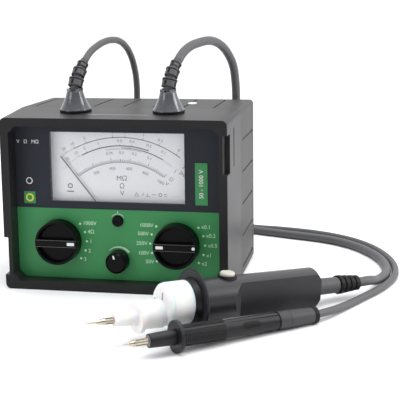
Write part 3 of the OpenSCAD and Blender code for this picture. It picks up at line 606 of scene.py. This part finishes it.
def selector(name, body, x, marks):
    """A selector's knob, its white marks to either side, and a painted highlight along the bar's
    edges.
    """
    softened(name, 0.45, gloss_black, body, segments=3)
    bar_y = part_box(name)[0].y / MM
    white = Marks(bar_y + 0.02, 0.12)
    for side, form in marks:
        if form == "bar":
            white.line((x + side * 8.2, SELECTOR_Z), (x + side * 13.4, SELECTOR_Z), 2.1)
        else:
            white.dot((x + side * 13.2, SELECTOR_Z), 1.15)
    white.piece(name + "_mark", print_white, body, slot="dial_white")
    # grey lines along the bar's top and bottom edges, painted highlights where the edges catch the
    # light
    edge = Marks(bar_y + 0.02)
    for z in (-2.35, 2.35):
        edge.line((x - 14.6, SELECTOR_Z + z), (x + 14.6, SELECTOR_Z + z), 0.22)
    edge.piece(name + "_edge_highlights", edge_highlight_grey, body, slot="gloss_black")


selector("function_knob", "function_selector", -SELECTOR_X, [(1, "bar")])
selector("voltage_knob", "voltage_selector", SELECTOR_X, [(-1, "bar"), (1, "dot")])


def trimmer():
    """The trim knob and its white tick."""
    softened("trim_knob", 0.5, gloss_black, "trimmer", segments=3)
    tick = Marks(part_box("trim_knob")[0].y / MM + 0.02, 0.12)
    tick.tick((0, TRIM_Z), 3.2, 5.9, -15, 1.1)
    tick.piece("trim_knob_mark", print_white, "trimmer", slot="dial_white")


trimmer()


# ------------------------------------------------------------------ probes

# the CAD's own sizes, in millimetres; each probe lies along X before it is turned into place
GUARD_R, GUARD_T, GRIP_R, GRIP_L = 20, 1.8, 13.2, 94
NOZZLE_DROP, BOOT_DROP = 6.2, 0.4
PROBE_TILT = math.atan((GUARD_R - GRIP_R) / (GRIP_L - GUARD_T))
PROBE_YAW = math.radians(41.4)
PROBE_Z = GUARD_R * math.cos(PROBE_TILT) + GUARD_T * math.sin(PROBE_TILT)
SMALL_GUARD_R, SMALL_END_R, SMALL_END, SMALL_LIFT = 9.6, 5, 98.5, 0.1
SMALL_YAW = math.radians(39.9)
SMALL_TILT = math.atan((SMALL_GUARD_R - SMALL_END_R - SMALL_LIFT) / SMALL_END)


def stance(at, yaw, tilt):
    """The place of a probe that lies along X: tilted onto its guard, turned, then moved."""
    return (Matrix.Translation(Vector(at) * MM) @ Matrix.Rotation(yaw, 4, "Z")
            @ Matrix.Rotation(tilt, 4, "Y"))


PROBE = stance((68.8, -124, PROBE_Z), PROBE_YAW, PROBE_TILT)
SMALL = stance((67, -158, SMALL_GUARD_R + SMALL_LIFT), SMALL_YAW, SMALL_TILT)
UP_X = Matrix.Rotation(-math.pi / 2, 4, "Y")

softened("probe_grip", 0.5, grip_plastic, segments=3)
softened("probe_guard", 0.7, guard_plastic, segments=3)
softened("nose_ring", 0.4, black_plastic)
softened("probe_nose", 0.8, nylon, segments=3)
softened("probe_tip", 0.1, bright_metal)
softened("push_button", 0.5, button_cream, "button", segments=3)
softened("button_bezel", 0.4, black_plastic)
softened("probe_boot", 0.3, boot_rubber)
softened("small_tip", 0.1, bright_metal)
softened("small_nose", 0.3, small_black)
softened("small_handle", 0.3, small_black)
softened("small_tail", 0.3, sleeve_rubber)
softened("left_gland", 0.4, gland_black)
softened("right_gland", 0.4, gland_black)
softened("left_boot", 0.3, boot_rubber)
softened("right_boot", 0.3, boot_rubber)


def around(at, count, first, r, size, x):
    """Blocks of the given size set evenly around the X axis at the radius r."""
    shapes = []
    for k in range(count):
        turn = Matrix.Rotation(first + 2 * math.pi * k / count, 4, "X")
        shape = block(size, (x, 0, r))
        shape.transform(at @ turn)
        shapes.append(shape)
    return shapes


def ring(at, x0, x1, r):
    """A short disc about X with softened rims; the bar that it goes round passes through it."""
    return turned([(x0, r - 0.1), (x0 + 0.1, r), (x1 - 0.1, r), (x1, r - 0.1)], 48, at)


def details(name, shapes, made):
    """Fixed details as one piece."""
    piece(name, from_bmesh(name, joined(*shapes)), made, ROOT, smooth=30)


def small_probe_details():
    """The small probe's knurling, dark bands, a thin line of painted shadow and washer."""
    knurl_rows, knurl_start, knurl_pitch = 22, 4, 1.25
    ridge = (0.65, 3.1, 0.7)
    rows = []
    for k in range(knurl_rows):
        rows += around(SMALL, 8, math.radians(12), 5.95, ridge, knurl_start + knurl_pitch * k)
    details("small_knurl", rows, small_black)
    bands = [ring(SMALL, 69.1, 69.8, 5.75), ring(SMALL, 77.3, 77.9, 5.75),
             ring(SMALL, 95.8, SMALL_END + 0.1, 5.45)]
    details("small_bands", bands, black_and_painted_shade)
    # a dark line standing in for the shadow of a parting line: painted shadow
    line = block((36, 0.3, 0.5), (50.5, 0, 5.45))
    line.transform(SMALL @ Matrix.Rotation(math.radians(30), 4, "X"))
    details("small_shadow_line", [line], black_and_painted_shade)
    details("small_washer", [turned([(-18.25, 3.3), (-17.6, 3.3)], 40, SMALL)], rim_grey)


def small_label():
    """A thin blank plate with round ends, bent round the small probe's bar."""
    middle, half_length, angle = 48.4, 6.2, math.radians(68)
    outer_r, thick = 5.62, 0.5
    half_width, straight = 0.36, 0.62
    lengthwise, across = 24, 6
    outer, inner = [], []
    plate = bmesh.new()
    for i in range(lengthwise + 1):
        u = -1 + 2 * i / lengthwise
        past = max(0, abs(u) - straight)
        half = half_width * math.sqrt(max(0.02, 1 - past ** 2 / (1 - straight) ** 2))
        for store, r in ((outer, outer_r), (inner, outer_r - thick)):
            row = []
            for j in range(across + 1):
                a = angle + half * (-1 + 2 * j / across)
                point = Vector((middle + half_length * u, -r * math.sin(a), r * math.cos(a)))
                row.append(plate.verts.new(point * MM))
            store.append(row)
    for a, b, p, q in zip(outer, outer[1:], inner, inner[1:]):
        for j in range(across):
            plate.faces.new((a[j], a[j + 1], b[j + 1], b[j]))
            plate.faces.new((p[j], q[j], q[j + 1], p[j + 1]))
        plate.faces.new((a[0], b[0], q[0], p[0]))
        plate.faces.new((a[-1], p[-1], q[-1], b[-1]))
    for out_row, in_row in ((outer[0], inner[0]), (outer[-1], inner[-1])):
        for j in range(across):
            plate.faces.new((out_row[j], in_row[j], in_row[j + 1], out_row[j + 1]))
    plate.transform(SMALL)
    details("small_label", [plate], black_and_painted_shade)


def button_probe_details():
    """The boot's ribs, grey marks that paint the shade in the nose's slits, and painted shade in
    the slots of both probes' tips.
    """
    boot = PROBE @ Matrix.Translation((0, 0, -BOOT_DROP * MM))
    first_rib, rib_pitch, rib_width = GRIP_L + 19.3, 4.6, 3.2
    ribs = [ring(boot, first_rib + rib_pitch * k, first_rib + rib_width + rib_pitch * k,
                 6.35 - 0.4 * k) for k in range(4)]
    details("probe_boot_ribs", ribs, black_and_painted_shade)
    face = -21
    # grey blocks on the nose that paint the shade inside its slits
    slit_shade_blocks = [block((0.5, 1.1, 4.4), (face, -1.8, 5.6)), block((0.5, 1.2, 1.8), (face, 7.8, 1.2))]
    for slit in slit_shade_blocks:
        slit.transform(PROBE)
    details("nose_slit_shade", slit_shade_blocks, slit_shade_grey)
    drop = Matrix.Translation((0, 0, -NOZZLE_DROP * MM))
    # dark strips along the tips that paint the shade inside their slots
    tip_shade_blocks = around(PROBE @ drop, 4, 0.5, 1.95, (4.6, 0.35, 0.3), -55.2)
    tip_shade_blocks += around(SMALL, 4, 0.5, 1.95, (7, 0.35, 0.3), -22.8)
    details("tip_slot_shade", tip_shade_blocks, black_and_painted_shade)


def gland_details(side, name):
    """The dark flange under a gland and the four blocks round its rim."""
    top = Matrix.Translation(Vector((side * GLAND_X, GLAND_Y, GLAND_Z)) * MM)
    stand = top @ Matrix.Rotation(TOP_SLOPE, 4, "X") @ UP_X
    flange = turned([(0.15, 11.1), (0.3, 11.3), (1.7, 11.3), (2.1, 10.9)], 64, stand)
    details(name + "_flange", [flange], black_and_painted_shade)
    rim = around(stand, 4, math.radians(45), 4.9, (2.8, 4.2, 1.1), 15.4)
    details(name + "_rim", rim, gland_black)


def boot_details(name, route, sizes):
    """The collars at a route's inner points: painted shade in a groove and slots, and a raised lip.
    """
    groove_shade_bands, lips = [], []
    for i, (r, length) in zip((1, 2, 3), sizes):
        before, here, after = (Vector(route[i + k]) for k in (-1, 0, 1))
        heading = (after - before).normalized()
        stand = Matrix.Translation(here * MM) @ heading.to_track_quat("X", "Z").to_matrix().to_4x4()
        top = length / 2
        # a dark band and blocks that paint the shade in each collar's groove and slots
        groove_shade_bands.append(ring(stand, top - 1.6, top - 0.8, r + 0.1))
        lips.append(ring(stand, top - 0.8, top + 0.1, r + 0.3))
        groove_shade_bands += around(stand, 4, 0, r, (length * 0.55, 1.5, 0.35), -0.6)
    details(name + "_groove_shade", groove_shade_bands, black_and_painted_shade)
    details(name + "_lips", lips, boot_rubber)


# the radius and length of each collar of a gland's boot, from the gland up
COLLARS = [(5.1, 6), (4.8, 5.6), (3.8, 4)]

small_probe_details()
small_label()
button_probe_details()
gland_details(-1, "left_gland")
gland_details(1, "right_gland")
boot_details("left_boot", [(-GLAND_X, -27, 138), (-33.6, -25.2, 144.5), (-32.7, -20.5, 151),
                           (-31.7, -15.8, 156), THIN_TOP[0]], COLLARS)
boot_details("right_boot", [(GLAND_X, -27, 138), (34.6, -25.6, 144.5), (35.8, -21.8, 151.3),
                            (37.3, -17.5, 156.5), THICK_TOP[0]], COLLARS)


def top_marks():
    """The pale oval on the rear top and the thin line across the front top."""
    case_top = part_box("rear_case")[1].z / MM
    place = Matrix.Translation(Vector((41, 22, case_top - 0.05)) * MM)
    oval = turned([(0, 3.4), (0.5, 3.4), (0.7, 3.1)], 40,
                  place @ Matrix.Diagonal((1, 1.6, 1, 1)) @ UP_X)
    line_y = -38
    line_z = BODY_H - BEZEL_DROP * (SEAM_Y - line_y) / FRONT_DEPTH
    line = block((44, 0.35, 0.1), (0, line_y, line_z + 0.03), Matrix.Rotation(TOP_SLOPE, 3, "X"))
    details("top_marks", [oval, line], print_white)


top_marks()


# ------------------------------------------------------------------ studio

def lay_floor():
    """A pale floor under the object."""
    shape = bmesh.new()
    bmesh.ops.create_grid(shape, x_segments=1, y_segments=1, size=6)
    floor = bpy.data.objects.new("floor", from_bmesh("floor", shape))
    bpy.context.scene.collection.objects.link(floor)
    look(floor, surface("studio_floor", (0.92, 0.92, 0.93), 0.8, vary=0.004, vary_size=2,
                        specular=0.2))


def light_sky():
    """A softbox overhead and behind, dim in front of the panel."""
    world = bpy.data.worlds.new("studio")
    bpy.context.scene.world = world
    world.use_nodes = True
    tree = world.node_tree
    place = tree.nodes.new("ShaderNodeTexCoord")
    split = tree.nodes.new("ShaderNodeSeparateXYZ")
    tree.links.new(place.outputs["Generated"], split.inputs["Vector"])
    total = tree.nodes.new("ShaderNodeMath")
    # along each axis, where the light starts and stops growing, and from what to what
    for k, (axis, start, stop, low, high) in enumerate((("Y", -0.6, 0.35, 0.3, 1.15),
                                                        ("Z", 0.35, 0.95, 0, 0.7))):
        fade = node(tree, "ShaderNodeMapRange", From_Min=start, From_Max=stop, To_Min=low,
                    To_Max=high)
        fade.interpolation_type = "SMOOTHSTEP"
        tree.links.new(split.outputs[axis], fade.inputs["Value"])
        tree.links.new(fade.outputs["Result"], total.inputs[k])
    background = tree.nodes["Background"]
    background.inputs["Color"].default_value = (0.98, 0.985, 1.0, 1)
    tree.links.new(total.outputs["Value"], background.inputs["Strength"])


def lamp(name, at, aim, size, power, colour=(1, 1, 1)):
    data = bpy.data.lights.new(name, "AREA")
    data.shape = "DISK"
    data.size = size
    data.energy = power
    data.color = colour
    obj = bpy.data.objects.new(name, data)
    bpy.context.scene.collection.objects.link(obj)
    obj.location = at
    obj.rotation_euler = (Vector(aim) - Vector(at)).to_track_quat("-Z", "Y").to_euler()


bpy.context.scene.view_settings.view_transform = "Standard"
lay_floor()
light_sky()
lamp("key", (0.25, -0.35, 1.5), (0, 0, 0.05), 0.9, 9)
lamp("side", (1.4, 0.1, 0.7), (0.1, 0, 0.05), 0.7, 9, (1, 0.985, 0.96))
lamp("fill", (-1.0, -1.1, 0.5), (0, -0.05, 0.05), 0.8, 5, (0.96, 0.98, 1))
